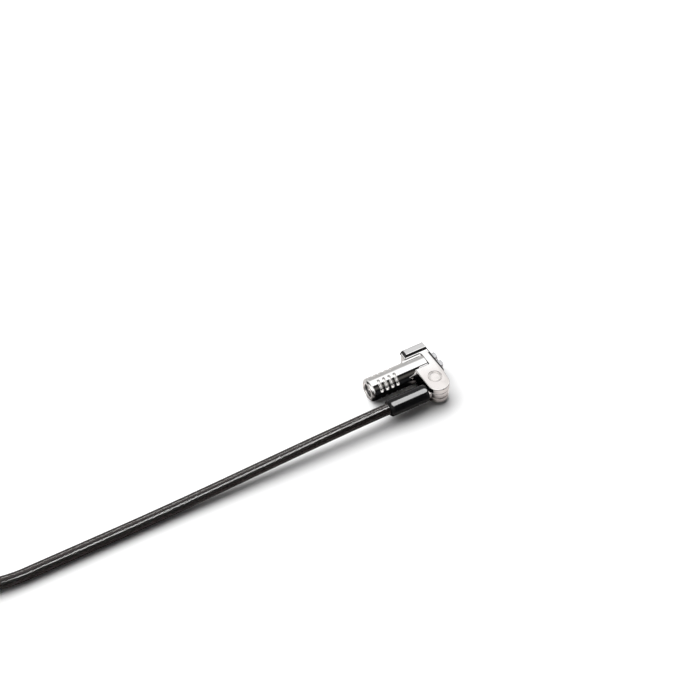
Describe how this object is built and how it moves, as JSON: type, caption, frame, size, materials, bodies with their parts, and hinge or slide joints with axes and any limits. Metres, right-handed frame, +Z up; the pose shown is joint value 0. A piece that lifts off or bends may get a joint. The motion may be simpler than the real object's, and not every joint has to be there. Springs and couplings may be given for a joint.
{
  "type": "laptop cable lock",
  "caption": "Slot-type laptop cable lock: chrome push barrel in a C-shaped bracket with folding hooks, hinged and swivelling black-sheathed steel cable with an anchor loop.",
  "frame": {"origin": "centre of the keyway disc's outer face, on the barrel axis", "axes": "+X along the barrel from the key end into the device, +Z up, -Y the side the cable hangs on; the cable leaves along -X"},
  "size_m": [0.2533, 0.0343, 0.0096],
  "materials": {
    "chrome": "polished bright chrome plate",
    "steel": "fine machined steel",
    "dark_steel": "blackened steel",
    "spring_steel": "drawn spring wire",
    "brass": "machined brass",
    "rubber": "matt black rubber",
    "gloss_black": "glossy black moulded plastic",
    "sheath": "smoky, slightly see-through glossy sheath",
    "strand": "stranded galvanised steel wire"
  },
  "bodies": {
    "bracket": {"bracket": "chrome", "front_pad": "rubber", "pivot_pin": "steel", "mark_disc": "chrome", "hook_pin_far": "steel", "hook_pin_near": "steel"},
    "barrel": {"barrel_shell": "chrome", "bezel_ring": "chrome", "locking_blade": "steel", "return_spring": "spring_steel"},
    "core": {"lock_core": "dark_steel", "keyway_disc": "steel", "sidebar": "steel", "disc_1": "brass", "disc_2": "brass", "disc_3": "brass", "disc_4": "brass", "disc_5": "brass", "spacer_1": "dark_steel", "spacer_2": "dark_steel", "spacer_3": "dark_steel", "spacer_4": "dark_steel", "spacer_5": "dark_steel"},
    "latch": {"latch_bolt": "steel"},
    "hook_far": {"hook_far": "steel"},
    "hook_near": {"hook_near": "steel"},
    "knuckle": {"knuckle_eye": "chrome", "swivel_stem": "steel"},
    "cable_near": {"cable_boot": "gloss_black", "thrust_washer": "steel", "crimp_ferrule": "steel", "cable_core_a": "strand", "cable_sheath_a": "sheath"},
    "cable_far": {"cable_core_b": "strand", "cable_sheath_b": "sheath", "loop_crimp": "gloss_black"}
  },
  "joints": [
    {"name": "core_turn", "type": "hinge", "parent": "barrel", "child": "core", "pos_m": [0, 0, 0], "axis": [1, 0, 0], "range_deg": [0, 90]},
    {"name": "barrel_slide", "type": "slide", "parent": "bracket", "child": "barrel", "axis": [-1, 0, 0], "range_m": [0, 0.0024], "deforming": ["return_spring"]},
    {"name": "latch_slide", "type": "slide", "parent": "barrel", "child": "latch", "axis": [0, -1, 0], "range_m": [0, 0.00114]},
    {"name": "hook_far_turn", "type": "hinge", "parent": "bracket", "child": "hook_far", "pos_m": [0.0257, 0.00175, 0], "axis": [0, 0, -1], "range_deg": [0, 9.05]},
    {"name": "hook_near_turn", "type": "hinge", "parent": "bracket", "child": "hook_near", "pos_m": [0.0257, -0.00175, 0], "axis": [0, 0, 1], "range_deg": [0, 9.05]},
    {"name": "cable_hinge", "type": "hinge", "parent": "bracket", "child": "knuckle", "pos_m": [0.02265, -0.01195, 0], "axis": [0, 0, 1], "range_deg": [-6, 92]},
    {"name": "cable_swivel", "type": "hinge", "parent": "knuckle", "child": "cable_near", "pos_m": [0.01665, -0.01192, 0.00055], "axis": [-1, 0.0052, 0], "continuous": true},
    {"name": "cable_bend", "type": "hinge", "parent": "cable_near", "child": "cable_far", "pos_m": [-0.06135, -0.01151, -0.00127], "axis": [0, 0, 1], "range_deg": [-30, 30]}
  ],
  "couplings": [
    {"joint": "core_turn", "follows": "barrel_slide", "rad_per_m": 654},
    {"joint": "latch_slide", "follows": "barrel_slide", "ratio": 0.4712},
    {"joint": "hook_far_turn", "follows": "barrel_slide", "rad_per_m": 65.4},
    {"joint": "hook_near_turn", "follows": "barrel_slide", "rad_per_m": 65.4}
  ]
}
